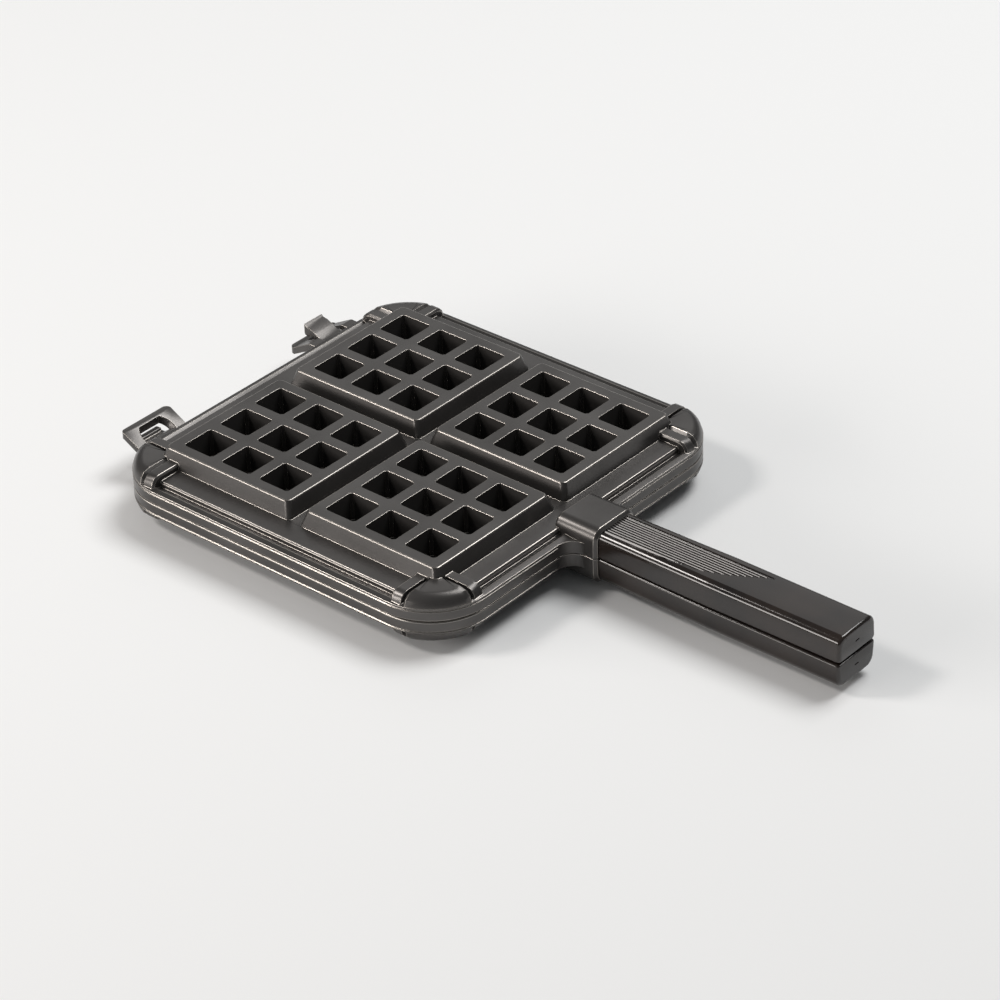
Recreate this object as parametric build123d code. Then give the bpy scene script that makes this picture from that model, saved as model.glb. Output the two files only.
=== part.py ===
from build123d import *
from math import cos, pi, sin
import os

# Stovetop waffle iron: two cast halves that are the same casting turned over,
# joined at the back by a cast hook-and-loop hinge, each with a moulded handle.
#
# Everything of one half is drawn as the upper half, in casting coordinates:
# origin at the middle of the four waffles, Z = 0 on the parting plane, +X to
# the handle. The lower half is the same shape turned half a turn about X.

# ------------------------------------------------------------ pockets and pegs
PITCH = 25.4                  # pocket to pocket
POCKETS_PER_SIDE = 3          # pockets along one waffle
GRID_REACH = PITCH * (POCKETS_PER_SIDE - 1) / 2    # to the outermost pocket's middle
POCKET_HALF = 9.45            # half opening of a pocket on the outside
POCKET_FOOT = 8.2             # half width of the pocket's floor
POCKET_CORNER = 1.2           # bevel of a pocket's upright edges
POCKET_FLOOR = 3.9            # height of the pocket's floor
PEG_HALF = 11.2               # half width of a peg where it leaves the pan
PEG_TIP_HALF = 10.1
PEG_TIP = 1.7                 # height of the peg's tip over the parting plane
PAN_HALF = GRID_REACH + PEG_HALF + 2.6             # half width of the batter pan's floor
PAN_MOUTH_HALF = PAN_HALF + 1.4
PAN_FLOOR = 16.05             # height of the pan's floor
PAN_CORNER = 3.0

# --------------------------------------------------------------- waffle blocks
BLOCK_HALF = GRID_REACH + POCKET_HALF + 6.55       # half width at the outer face
BLOCK_HEIGHT = 18.25          # outer face of a block above the parting plane
BLOCK_LIP = 10.35             # height where a block's sloping side ends in a lip
BLOCK_LIP_HALF = BLOCK_HALF + 2.6                  # half width at that lip
BLOCK_CORNER = 3.2            # corner radius of a block
BLOCK_EDGE = 0.4              # bevel of the outer edge of a block
GUTTER_CROSS = 8.0            # gutter width between the pans
CROSS_LAND = 2.65             # flat land between a pan and that gutter
BLOCK_CENTRE = PAN_MOUTH_HALF + CROSS_LAND + GUTTER_CROSS / 2

# -------------------------------------------------- plate rim, from inside out
SEAT = 0.15                   # each half stops this far from the parting plane
GUTTER_INNER_HALF = BLOCK_CENTRE + PAN_MOUTH_HALF + 3.75    # past the pans' land
GUTTER_OUTER_HALF = GUTTER_INNER_HALF + 9.4        # overflow gutter's outer wall
GUTTER_ROOF = 6.0
GUTTER_CORNER = 6.0
TERRACE_HALF = GUTTER_OUTER_HALF + 3.2             # edge of the floor round the blocks
TERRACE_TOP = 9.5
TERRACE_EDGE = 0.9
MOAT_FLOOR = 6.5              # floor of the channel inside the bead
MOAT_OUTER_HALF = TERRACE_HALF + 1.4               # foot of the slope inside the bead
BEAD_INNER_HALF = MOAT_OUTER_HALF + 2.4
BEAD_INNER_TOP = 7.8
BEAD_OUTER_TOP = 7.1          # height of the bead's outer edge
BEAD_GROOVE_LOW = 5.4         # the fine groove round the outer wall
BEAD_GROOVE_HIGH = 6.2
BEAD_GROOVE_DEPTH = 0.5
RIM_HALF = BEAD_INNER_HALF + 3.0                   # half width of the plate, side to side
RIM_X_LESS = 1.0              # the plate is this much shorter to hinge and handle
RIM_CORNER = 33.0             # corner radius of the plate
RIM_EDGE = 0.5                # rounding at the parting line
CORNER_Y = RIM_HALF - RIM_CORNER
CORNER_X = CORNER_Y - RIM_X_LESS
WALL_X = RIM_X_LESS - RIM_HALF                     # the plate's wall at the hinge
ROUND_FLATS = 3               # flats in the quarter round of a boss or rib

# ------------------------------------------------------- corner bosses, ribs
BOSS_TOP = 13.4
BOSS_REACH = RIM_CORNER - 0.2                      # radius of the boss at the bead
BOSS_SIDE = CORNER_Y + 6.9    # flank of the boss beside the rib
BOSS_EDGE = 1.8               # bevel of the boss's flanks
RIB_OUTER = BOSS_SIDE - 0.7
RIB_INNER = RIB_OUTER - 6.4
RIB_TOP = 12.9
RIB_FOOT = RIM_HALF - 1.4
RIB_EDGE = 1.0                # bevel of a rib towards the floor
RIB_BOSS_EDGE = 2.4           # and towards the boss

# ------------------------------------------------------------- lug and tang
LUG_INNER = -WALL_X - 10.5    # the lug starts this side of the plate's wall
LUG_END = -WALL_X + 15.5
LUG_HALF = 15.5
LUG_TOP = 15.3
LUG_SIDE_RADIUS = 6.6
LUG_EDGE = 1.6                # bevel of the lug's front and back edges
LUG_FILLET = 9.0              # concave fillet between lug and plate wall
TANG_END = LUG_END + 48.5
TANG_HALF = 6.5
TANG_TIP_HALF = 5.5
TANG_LOW = 3.4
TANG_HIGH = 10.6
TANG_TIP_HIGH = 9.4

# ---------------------------------------------------------------------- hinge
HINGE_X = WALL_X - 19.5       # hinge axis, on the parting plane, along Y
HINGE_SIDE = CORNER_Y - 15.5  # middle of each hook and loop from the centre
HINGE_LIP = SEAT + 0.2        # underside of the arms where they leave the wall
ARM_BACK = WALL_X - 2.4       # back of the arms, clear of the other half
LOOP_HALF = 16.6              # half width of a loop
LOOP_END = HINGE_X - 2.3
LOOP_TOP = 5.8
LOOP_SEAT = 1.8               # underside of the loop's outer bar
LOOP_FLAT_END = HINGE_X + 1.2                      # where the bar's flat meets the slope
LOOP_BAR_INNER = HINGE_X + 2.2                     # inner side of the bar, edge of the eye
LOOP_WALL = 0.4               # the slope's underside starts this far past its top
LOOP_SHOULDER = (WALL_X - 1.6, 4.2)                # X and Z where the top turns down
LOOP_NECK = (WALL_X - 5.7, -1.0)                   # lowest point of the loop's top
LOOP_LOW = -4.6
LOOP_BEND = 2.5
LOOP_PLAN_RADIUS = 3.5
LOOP_EDGE = 0.6
EYE_X = HINGE_X + 8.3         # middle of the loop's eye
EYE_RADIUS = 8.6
EYE_MOUTH_RADIUS = 10.7
EYE_TILT = 28.5               # slope of the loop, in degrees
EYE_DEPTH = 3.6
HOOK_HALF = 6.9               # half width of a hook
HOOK_ROOT = 5.2               # height of the hook's back where it leaves the wall
HOOK_NOSE = HINGE_X - 0.4     # outer face of a hook
HOOK_TIP = 0.8                # bevel of the raised lip's tip, along X
HOOK_CREST = 7.8              # height of the lip along the nose
HOOK_TOE = 0.8                # lowest point of the toe
# Bends of the hook's side view in X and Z: its back from the wall to the lip,
HOOK_DIP = (WALL_X - 4.0, 2.0)
HOOK_DIP_END = (WALL_X - 7.6, 2.3)
HOOK_RISE = (HINGE_X + 8.1, 4.6)
HOOK_SHOULDER = (HINGE_X + 4.1, 6.3)
HOOK_LIP_FOOT = (HOOK_NOSE + 2.0, 6.7)
# and its underside from the toe to the wall.
HOOK_HEEL = (HINGE_X + 3.6, HOOK_TOE)
HOOK_ARCH = (HINGE_X + 4.2, 2.3)
HOOK_THROAT = (HINGE_X + 6.3, 2.0)
HOOK_BELLY = (WALL_X - 7.4, -2.1)
HOOK_BELLY_END = (WALL_X - 3.2, -2.1)
HOOK_NOSE_RADIUS = 2.0
HOOK_HEEL_RADIUS = 0.9
HOOK_DIP_RADIUS = 3.0
HOOK_RISE_RADIUS = 6.0
HOOK_BELLY_RADIUS = 2.5
HOOK_EDGE = 0.7               # bevel of the nose's upright edges

# --------------------------------------------------------------------- handle
HANDLE_START = LUG_END + 0.3
HANDLE_END = HANDLE_START + 141.2
HANDLE_STATIONS = (HANDLE_START, HANDLE_START + 64.2, HANDLE_END)
HANDLE_HALVES = (13.2, 14.3, 14.1)
HANDLE_SPREAD = 0.5           # how much wider the foot is than the shoulders
HANDLE_TOPS = (13.9, 14.2, 14.0)
HANDLE_FOOTS = (0.35, 0.45, 0.6)
HANDLE_SHOULDER = 4.8         # radius of the shoulders
HANDLE_EDGE = 0.6             # bevel of the foot edges
HANDLE_END_EDGE = 1.6         # bevel of the handle's end
GRIP_DEPTH = 0.6              # the reeded panel lies this much lower
GRIP_SIDE = 8.0               # the panel's straight side
GRIP_START = HANDLE_START - 2.0
GRIP_CURVE = (                # X and Y along its other side, which turns across
    (GRIP_START, -10.4), (HANDLE_START + 24.6, -10.3), (HANDLE_START + 56.6, -8.1),
    (HANDLE_START + 80.2, 3.2), (HANDLE_START + 88.2, GRIP_SIDE),
)
REED_COUNT = 10
REED_PITCH = 1.7
REED_WIDTH = 0.9
REED_FIRST = -8.7
SOCKET_GAP = 0.2
SCREW_X = HANDLE_START + 26.2
SCREW_RADIUS = 2.5
SCREW_TIP = 8.6
SCREW_HEAD_RADIUS = 4.6
SCREW_HEAD_HEIGHT = 2.4
SCREW_SEAT = 0.7              # the head is sunk this far into the handle
SCREW_DRIVE = 3.2
SCREW_DRIVE_WIDTH = 1.0
SCREW_DRIVE_DEPTH = 1.3
THREAD_GAP = 0.04

# -------------------------------------------------------------- drawing margins
OVERRUN = 1.0                 # cutters and roots reach this far past a surface
NEAR = 0.5                    # an edge this close to a plane counts as on it

# ---------------------------------------------------------------- whole object
SHIFT_X = -(HANDLE_END + LOOP_END) / 2


def flats(x, z, radius):
    """A quarter round in flats, from its level side to its upright side.

    The round's centre is at x and z, and it bulges to +X and +Z.
    """
    steps = [k * pi / 2 / ROUND_FLATS for k in range(ROUND_FLATS + 1)]
    return [(x + radius * sin(a), z + radius * cos(a)) for a in steps]


def prism(points, half):
    """A solid of the given X and Z outline, centred across Y."""
    face = make_face(Polyline(points, close=True))
    return Pos(0, half, 0) * extrude(Plane.XZ * face, 2 * half)


def drafted(half_low, z_low, half_high, z_high):
    """A square post with flat drafted sides between two heights."""
    outline = (
        (-half_low, z_low), (half_low, z_low), (half_high, z_high),
        (-half_high, z_high),
    )
    slab = prism(outline, max(half_low, half_high))
    return slab & Rot(0, 0, 90) * slab


def slanted_edges(solid):
    """The upright edges between the sides of a drafted post."""
    return solid.edges().filter_by(lambda e: abs(e.tangent_at(0.5).Z) > 0.5)


def rim_outline(half, z):
    """The plate's outline, moved in or out about its corner centres."""
    radius = half - CORNER_Y
    width = 2 * (half - RIM_X_LESS)
    return Pos(0, 0, z) * RectangleRounded(width, 2 * half, radius)


def rim_tier(half_low, z_low, half_high, z_high):
    """One step of the plate's rim."""
    low = rim_outline(half_low, z_low)
    if half_low == half_high:
        return extrude(low, z_high - z_low)
    return loft([low, rim_outline(half_high, z_high)], ruled=True)


def make_rim():
    """The square plate with its bead, channel and raised terrace."""
    groove_half = RIM_HALF - BEAD_GROOVE_DEPTH
    tiers = (
        (RIM_HALF - RIM_EDGE, SEAT, RIM_HALF, SEAT + RIM_EDGE),
        (RIM_HALF, SEAT + RIM_EDGE, RIM_HALF, BEAD_GROOVE_LOW),
        (groove_half, BEAD_GROOVE_LOW, groove_half, BEAD_GROOVE_HIGH),
        (RIM_HALF, BEAD_GROOVE_HIGH, RIM_HALF, BEAD_OUTER_TOP),
        (RIM_HALF, BEAD_OUTER_TOP, BEAD_INNER_HALF, BEAD_INNER_TOP),
    )
    rim = Part() + [rim_tier(*tier) for tier in tiers]
    rim -= rim_tier(MOAT_OUTER_HALF, MOAT_FLOOR, BEAD_INNER_HALF, BEAD_INNER_TOP)
    edge_half = TERRACE_HALF - TERRACE_EDGE
    edge_low = TERRACE_TOP - TERRACE_EDGE
    rim += rim_tier(TERRACE_HALF, MOAT_FLOOR, TERRACE_HALF, edge_low)
    rim += rim_tier(TERRACE_HALF, edge_low, edge_half, TERRACE_TOP)
    return rim


def make_block():
    """One raised waffle block, before its pockets and its pan are cut."""
    block = drafted(BLOCK_LIP_HALF, BLOCK_LIP, BLOCK_HALF, BLOCK_HEIGHT)
    block = fillet(slanted_edges(block), BLOCK_CORNER)
    lip = block.faces().sort_by(Axis.Z)[0]
    block += extrude(lip, BLOCK_LIP - MOAT_FLOOR)
    top = block.faces().sort_by(Axis.Z)[-1]
    return chamfer(top.edges(), BLOCK_EDGE)


def make_pockets():
    """The nine drafted pockets that open on the outside of a block."""
    flare = (POCKET_HALF - POCKET_FOOT) / (BLOCK_HEIGHT - POCKET_FLOOR)
    pocket = drafted(
        POCKET_FOOT, POCKET_FLOOR,
        POCKET_HALF + flare * OVERRUN, BLOCK_HEIGHT + OVERRUN)
    pocket = chamfer(slanted_edges(pocket), POCKET_CORNER)
    return [place * pocket for place in GridLocations(
        PITCH, PITCH, POCKETS_PER_SIDE, POCKETS_PER_SIDE)]


def make_pan():
    """The room for the batter: the pan less the nine pegs that stand in it."""
    flare = (PAN_MOUTH_HALF - PAN_HALF) / (PAN_FLOOR - SEAT)
    pan = drafted(
        PAN_MOUTH_HALF + flare * OVERRUN, SEAT - OVERRUN, PAN_HALF, PAN_FLOOR)
    pan = fillet(slanted_edges(pan), PAN_CORNER)
    draft = (PEG_HALF - PEG_TIP_HALF) / (PAN_FLOOR - PEG_TIP)
    peg = drafted(
        PEG_TIP_HALF, PEG_TIP, PEG_HALF + draft * OVERRUN, PAN_FLOOR + OVERRUN)
    pegs = [place * peg for place in GridLocations(
        PITCH, PITCH, POCKETS_PER_SIDE, POCKETS_PER_SIDE)]
    return pan - pegs


def make_gutter():
    """The overflow gutter round the pans and between them."""
    low = SEAT - OVERRUN
    height = GUTTER_ROOF - low
    middle = (GUTTER_ROOF + low) / 2
    outer = rim_tier(GUTTER_OUTER_HALF, low, GUTTER_OUTER_HALF, GUTTER_ROOF)
    side = 2 * GUTTER_INNER_HALF
    inner = Pos(0, 0, low) * RectangleRounded(side, side, GUTTER_CORNER)
    ring = outer - extrude(inner, height)
    reach = GUTTER_INNER_HALF + GUTTER_OUTER_HALF
    along = Pos(0, 0, middle) * Box(reach, GUTTER_CROSS, height)
    across = Pos(0, 0, middle) * Box(GUTTER_CROSS, reach, height)
    return ring + along + across


def make_rib(foot):
    """A rib from a block's side out to its rounded foot on the bead."""
    start = BLOCK_CENTRE + BLOCK_HALF
    end_round = RIB_TOP - BEAD_OUTER_TOP
    outline = [(start, MOAT_FLOOR), (start, RIB_TOP)]
    outline += flats(foot - end_round, BEAD_OUTER_TOP, end_round)
    outline += [(foot, MOAT_FLOOR)]
    half = (RIB_OUTER - RIB_INNER) / 2
    rib = Pos(RIB_INNER + half, 0, 0) * Rot(0, 0, 90) * prism(outline, half)
    crest = rib.edges().filter_by(
        lambda e: e.center().Y > start + NEAR and e.center().Z > BEAD_OUTER_TOP)
    floor_side = crest.filter_by(lambda e: e.bounding_box().max.X < RIB_INNER + NEAR)
    boss_side = crest.filter_by(lambda e: e.bounding_box().min.X > RIB_OUTER - NEAR)
    rib = chamfer(boss_side, RIB_BOSS_EDGE)
    return chamfer(floor_side, RIB_EDGE)


def make_corner():
    """A corner of the plate: the domed boss and the two ribs beside it."""
    fall = BOSS_TOP - BEAD_OUTER_TOP
    outline = [(0, MOAT_FLOOR), (0, BOSS_TOP)]
    outline += flats(BOSS_REACH - fall, BEAD_OUTER_TOP, fall)
    outline += [(BOSS_REACH, MOAT_FLOOR)]
    section = Plane.XZ * make_face(Polyline(outline, close=True))
    boss = Pos(CORNER_X, CORNER_Y, 0) * revolve(section, Axis.Z)
    span = RIM_HALF - BOSS_SIDE + OVERRUN
    middle = BOSS_SIDE + span / 2
    boss &= Pos(middle, middle, BLOCK_HEIGHT / 2) * Box(span, span, BLOCK_HEIGHT)
    flanks = boss.edges().filter_by(
        lambda e: e.center().Z > BEAD_OUTER_TOP + NEAR
        and min(e.center().X, e.center().Y) < BOSS_SIDE + NEAR)
    boss = chamfer(flanks, BOSS_EDGE)
    twin = mirror(make_rib(RIB_FOOT - RIM_X_LESS), Plane((0, 0, 0), z_dir=(1, -1, 0)))
    return boss + make_rib(RIB_FOOT) + twin


def make_lug():
    """The square boss at the front that carries the handle's tang."""
    length = LUG_END - LUG_INNER
    middle = (LUG_END + LUG_INNER) / 2
    height = LUG_TOP - SEAT
    lug = Pos(middle, 0, SEAT + height / 2) * Box(length, 2 * LUG_HALF, height)
    crown = lug.edges().filter_by(Axis.X).group_by(Axis.Z)[-1]
    lug = fillet(crown, LUG_SIDE_RADIUS)
    front = lug.faces().sort_by(Axis.X)[-1]
    lug = chamfer(front.edges().filter_by(lambda e: e.center().Z > SEAT + NEAR), LUG_EDGE)
    back = lug.edges().filter_by(
        lambda e: e.center().X < LUG_INNER + NEAR
        and e.center().Z > LUG_TOP - LUG_SIDE_RADIUS)
    lug = chamfer(back, LUG_EDGE)
    web = BEAD_OUTER_TOP - SEAT
    for side in (1, -1):
        corner_y = side * (LUG_HALF + LUG_FILLET / 2)
        square = Pos(-WALL_X + LUG_FILLET / 2, corner_y) * Rectangle(
            LUG_FILLET, LUG_FILLET)
        bite = Pos(-WALL_X + LUG_FILLET, side * (LUG_HALF + LUG_FILLET)) * Circle(
            LUG_FILLET)
        lug += Pos(0, 0, SEAT) * extrude(square - bite, web)
    return lug


def make_tang(gap):
    """The tapered tang inside the handle; gap makes the handle's socket."""
    root = Plane((LUG_END - OVERRUN, 0, 0), x_dir=(0, 1, 0), z_dir=(1, 0, 0))
    tip = Plane((TANG_END + gap, 0, 0), x_dir=(0, 1, 0), z_dir=(1, 0, 0))
    high = TANG_HIGH + gap
    low = TANG_LOW - gap
    tip_high = TANG_TIP_HIGH + gap
    root_face = root * Pos(0, (high + low) / 2) * Rectangle(
        2 * (TANG_HALF + gap), high - low)
    tip_face = tip * Pos(0, (tip_high + low) / 2) * Rectangle(
        2 * (TANG_TIP_HALF + gap), tip_high - low)
    return loft([root_face, tip_face], ruled=True)


def bend(plate, x, z, radius):
    """Rounds the edge across Y that passes through a point of the outline."""
    edges = plate.edges().filter_by(Axis.Y).sort_by(
        lambda e: (e.center().X - x) ** 2 + (e.center().Z - z) ** 2)
    return fillet(edges[0], radius)


def make_loop():
    """The upper half's hinge loop: a swan-necked plate with a flared eye."""
    root = WALL_X + OVERRUN
    neck_x, neck_z = LOOP_NECK
    slope = (LOOP_TOP - neck_z) / (neck_x - LOOP_FLAT_END)
    under = LOOP_FLAT_END - LOOP_WALL
    knee = under + (LOOP_SEAT - LOOP_LOW) / slope
    outline = (
        (root, LOOP_TOP), LOOP_SHOULDER, LOOP_NECK,
        (LOOP_FLAT_END, LOOP_TOP), (LOOP_END, LOOP_TOP), (LOOP_END, LOOP_SEAT),
        (under, LOOP_SEAT), (knee, LOOP_LOW), (ARM_BACK, LOOP_LOW),
        (ARM_BACK, HINGE_LIP), (root, HINGE_LIP),
    )
    plate = prism(outline, LOOP_HALF)
    plate = bend(plate, *LOOP_NECK, LOOP_BEND)
    plate = bend(plate, knee, LOOP_LOW, LOOP_BEND)
    plate = bend(plate, *LOOP_SHOULDER, LOOP_BEND)
    plate = bend(plate, LOOP_END, LOOP_TOP, LOOP_EDGE)
    plate = bend(plate, LOOP_END, LOOP_SEAT, LOOP_EDGE)
    plan = Pos((root + LOOP_END) / 2, 0) * Rectangle(root - LOOP_END, 2 * LOOP_HALF)
    plan = fillet(plan.vertices().group_by(Axis.X)[0], LOOP_PLAN_RADIUS)
    plate &= Pos(0, 0, 2 * LOOP_LOW) * extrude(plan, 4 * LOOP_TOP)

    flare = (EYE_MOUTH_RADIUS - EYE_RADIUS) / EYE_DEPTH
    over = 2 * EYE_DEPTH
    cone = Cone(EYE_RADIUS, EYE_RADIUS + flare * over, over)
    bore = Cylinder(EYE_RADIUS, 2 * over)
    eye = Pos(0, 0, (over - EYE_DEPTH) / 2) * cone + Pos(0, 0, -over) * bore
    eye = Pos(EYE_X, 0, (LOOP_TOP + LOOP_LOW) / 2) * Rot(0, EYE_TILT, 0) * eye
    reach = WALL_X - LOOP_BAR_INNER
    clear = Pos(LOOP_BAR_INNER + reach / 2, 0, 0) * Box(reach, 4 * LOOP_HALF, 4 * reach)
    slot_length = WALL_X - EYE_X
    slot = Box(slot_length, 2 * EYE_RADIUS, 4 * LOOP_TOP)
    eye = (eye & clear) + Pos(EYE_X + slot_length / 2, 0, 0) * slot
    return Pos(0, -HINGE_SIDE, 0) * (plate - eye)


def make_hook():
    """The upper half's hinge hook, with its raised lip and hanging toe."""
    root = WALL_X + OVERRUN
    nose_tip = (HOOK_NOSE, HOOK_CREST - HOOK_TIP / 2)
    nose_toe = (HOOK_NOSE, HOOK_TOE)
    outline = (
        (root, HOOK_ROOT), HOOK_DIP, HOOK_DIP_END, HOOK_RISE, HOOK_SHOULDER,
        HOOK_LIP_FOOT, (HOOK_NOSE + HOOK_TIP, HOOK_CREST), nose_tip, nose_toe,
        HOOK_HEEL, HOOK_ARCH, HOOK_THROAT, HOOK_BELLY, HOOK_BELLY_END,
        (ARM_BACK, HINGE_LIP), (root, HINGE_LIP),
    )
    hook = prism(outline, HOOK_HALF)
    hook = bend(hook, *HOOK_DIP, HOOK_DIP_RADIUS)
    hook = bend(hook, *HOOK_RISE, HOOK_RISE_RADIUS)
    hook = bend(hook, *HOOK_HEEL, HOOK_HEEL_RADIUS)
    hook = bend(hook, *HOOK_THROAT, HOOK_BELLY_RADIUS)
    hook = bend(hook, *HOOK_BELLY, HOOK_BELLY_RADIUS)
    hook = bend(hook, *nose_toe, HOOK_NOSE_RADIUS)
    uprights = hook.edges().filter_by(Axis.Z).group_by(Axis.X)[0]
    hook = chamfer(uprights, HOOK_EDGE)
    return Pos(0, HINGE_SIDE, 0) * hook


def make_casting():
    """One half of the iron in one piece, as it leaves the mould."""
    casting = make_rim() - make_gutter()
    places = [Pos(x, y) for x in (-BLOCK_CENTRE, BLOCK_CENTRE)
              for y in (-BLOCK_CENTRE, BLOCK_CENTRE)]
    block = make_block()
    corner = make_corner()
    casting += [place * block for place in places]
    right = corner + mirror(corner, Plane.XZ)
    casting += right + mirror(right, Plane.YZ)
    casting += make_lug()
    hollows = [make_pan()] + make_pockets()
    casting -= [place * hollow for place in places for hollow in hollows]
    casting += make_loop()
    casting += make_hook()
    casting += make_tang(0)
    hole_depth = SCREW_TIP + OVERRUN
    hole = Cylinder(SCREW_RADIUS + THREAD_GAP, hole_depth)
    casting -= Pos(SCREW_X, 0, hole_depth / 2) * hole
    return casting


def handle_section(index, sink):
    """The handle's D section at a station; sink lowers its top."""
    plane = Plane((HANDLE_STATIONS[index], 0, 0), x_dir=(0, 1, 0), z_dir=(1, 0, 0))
    foot = HANDLE_FOOTS[index]
    half = HANDLE_HALVES[index]
    top = HANDLE_TOPS[index] - sink
    shoulder = flats(half - HANDLE_SHOULDER, top - HANDLE_SHOULDER, HANDLE_SHOULDER)
    right = shoulder + [
        (half + HANDLE_SPREAD, foot + HANDLE_EDGE),
        (half + HANDLE_SPREAD - HANDLE_EDGE, foot),
    ]
    left = [(-y, z) for y, z in reversed(right)]
    return plane * make_face(Polyline(right + left, close=True))


def handle_body(sink):
    """The handle's full D shape; sink lowers its top for the grip panel."""
    sections = [handle_section(k, sink) for k in range(len(HANDLE_STATIONS))]
    return loft(sections, ruled=True)


def make_handle():
    """The upper moulded handle with its reeded grip panel and its socket."""
    handle = handle_body(0)
    end = handle.edges().filter_by(
        lambda e: e.center().X > HANDLE_END - NEAR
        and e.center().Z > max(HANDLE_FOOTS) + HANDLE_EDGE)
    handle = chamfer(end, HANDLE_END_EDGE)

    with BuildSketch() as panel:
        with BuildLine():
            Line((GRIP_START, GRIP_SIDE), GRIP_CURVE[0])
            Spline(*GRIP_CURVE, tangents=((1, 0), (1, 0.6)))
            Line(GRIP_CURVE[-1], (GRIP_START, GRIP_SIDE))
        make_face()
    top = max(HANDLE_TOPS)
    window = Pos(0, 0, top / 2) * extrude(panel.sketch, top)
    reeds = [
        Pos(HANDLE_START, REED_FIRST + k * REED_PITCH, top) * Box(
            2 * (HANDLE_END - HANDLE_START), REED_WIDTH, 2 * top)
        for k in range(REED_COUNT)
    ]
    handle -= (window - reeds) - handle_body(GRIP_DEPTH)

    handle -= make_tang(SOCKET_GAP)
    shank = Cylinder(SCREW_RADIUS + SOCKET_GAP, 2 * TANG_LOW)
    handle -= Pos(SCREW_X, 0, TANG_LOW) * shank
    handle -= make_screw_head(SOCKET_GAP, SCREW_SEAT)
    return handle


def make_screw_head(gap, sink):
    """The countersunk head; gap and sink make its seat in the handle."""
    low = SCREW_SEAT - sink
    cone = Pos(SCREW_X, 0, SCREW_SEAT + SCREW_HEAD_HEIGHT / 2) * Cone(
        SCREW_HEAD_RADIUS + gap, SCREW_RADIUS + gap, SCREW_HEAD_HEIGHT)
    if sink:
        well = Cylinder(SCREW_HEAD_RADIUS + gap, 2 * sink)
        cone += Pos(SCREW_X, 0, low) * well
    return cone


def make_screw():
    """The handle screw: countersunk head, cross recess, plain shank."""
    length = SCREW_TIP - SCREW_SEAT
    shank = Pos(SCREW_X, 0, SCREW_SEAT + length / 2) * Cylinder(SCREW_RADIUS, length)
    screw = make_screw_head(0, 0) + shank
    for turn in (0, 90):
        blade = Rot(0, 0, turn) * Box(
            2 * SCREW_DRIVE, SCREW_DRIVE_WIDTH, 2 * SCREW_DRIVE_DEPTH)
        screw -= Pos(SCREW_X, 0, SCREW_SEAT) * blade
    return screw


def write(shape, name, turn):
    """Puts a half's part in the object's frame and writes its file."""
    placed = Pos(SHIFT_X, 0, BLOCK_HEIGHT) * Rot(turn, 0, 0) * shape
    export_step(placed, "parts/" + name + ".step")


os.makedirs("parts", exist_ok=True)
plate = make_casting()
handle = make_handle()
screw = make_screw()
for half, turn in (("upper", 0), ("lower", 180)):
    write(plate, half + "_plate", turn)
    write(handle, half + "_handle", turn)
    write(screw, half + "_handle_screw", turn)
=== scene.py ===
# %% [markdown]
# # A stovetop waffle iron
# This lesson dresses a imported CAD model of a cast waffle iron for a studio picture. The CAD gives two
# castings, two handles and two screws, in metres, with a hinge between the halves. Everything here goes
# over that frame without moving it: rounder edges, a moulded handle surface, finishes, light and camera.

# %% Load the frame and note its size
import math

import bmesh
import bpy
import numpy as np
from mathutils import Matrix, Vector


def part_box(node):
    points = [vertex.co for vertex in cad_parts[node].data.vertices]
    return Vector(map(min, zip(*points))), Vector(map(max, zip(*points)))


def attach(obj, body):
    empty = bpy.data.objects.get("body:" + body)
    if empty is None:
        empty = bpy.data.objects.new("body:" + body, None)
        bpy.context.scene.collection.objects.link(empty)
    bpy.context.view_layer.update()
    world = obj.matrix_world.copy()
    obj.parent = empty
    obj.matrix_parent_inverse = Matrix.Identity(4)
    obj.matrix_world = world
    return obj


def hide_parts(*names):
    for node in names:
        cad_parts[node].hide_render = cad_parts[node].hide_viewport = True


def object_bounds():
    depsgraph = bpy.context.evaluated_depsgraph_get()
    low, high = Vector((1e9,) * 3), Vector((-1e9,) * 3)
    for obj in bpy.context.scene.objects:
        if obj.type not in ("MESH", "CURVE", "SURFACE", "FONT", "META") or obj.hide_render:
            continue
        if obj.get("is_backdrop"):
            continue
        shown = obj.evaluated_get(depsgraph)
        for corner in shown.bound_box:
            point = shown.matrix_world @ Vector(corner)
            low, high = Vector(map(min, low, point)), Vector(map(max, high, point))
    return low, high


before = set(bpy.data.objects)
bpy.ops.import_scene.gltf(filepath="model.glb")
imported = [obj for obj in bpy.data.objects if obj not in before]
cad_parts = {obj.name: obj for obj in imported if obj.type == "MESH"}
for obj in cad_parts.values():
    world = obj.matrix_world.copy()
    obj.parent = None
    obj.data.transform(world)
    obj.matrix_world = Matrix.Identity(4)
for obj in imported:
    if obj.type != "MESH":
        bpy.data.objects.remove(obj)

MM = 0.001
HALVES = ("lower", "upper")
cad_box = [list(corner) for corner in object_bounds()]
cad_span = [round((high - low) / MM, 1) for low, high in zip(*cad_box)]
parting_height = cad_box[1][2] / 2
print("CAD box in mm:", cad_span, "parting plane at", round(parting_height / MM, 2))

# %% [markdown]
# ## The camera
# The picture looks down on the iron from its front left corner with a long lens. A camera can be turned
# by hand until the edges line up, or worked out once from points whose real places are known. The second
# way was used, so its place and its three directions are written here as they came out of that fit.

# %% Place the camera
CAMERA_PLACE = (0.96836716, -1.13322893, 0.97843093)
CAMERA_RIGHT = (0.7645195, 0.64420357, -0.02262053)
CAMERA_DOWN = (0.33345516, -0.42527828, -0.84139529)
CAMERA_AHEAD = (-0.55164987, 0.63572018, -0.53994654)
LENS_MM = 130.4975
SENSOR_MM = 36.0
FARTHEST_SEEN = 50.0


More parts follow.
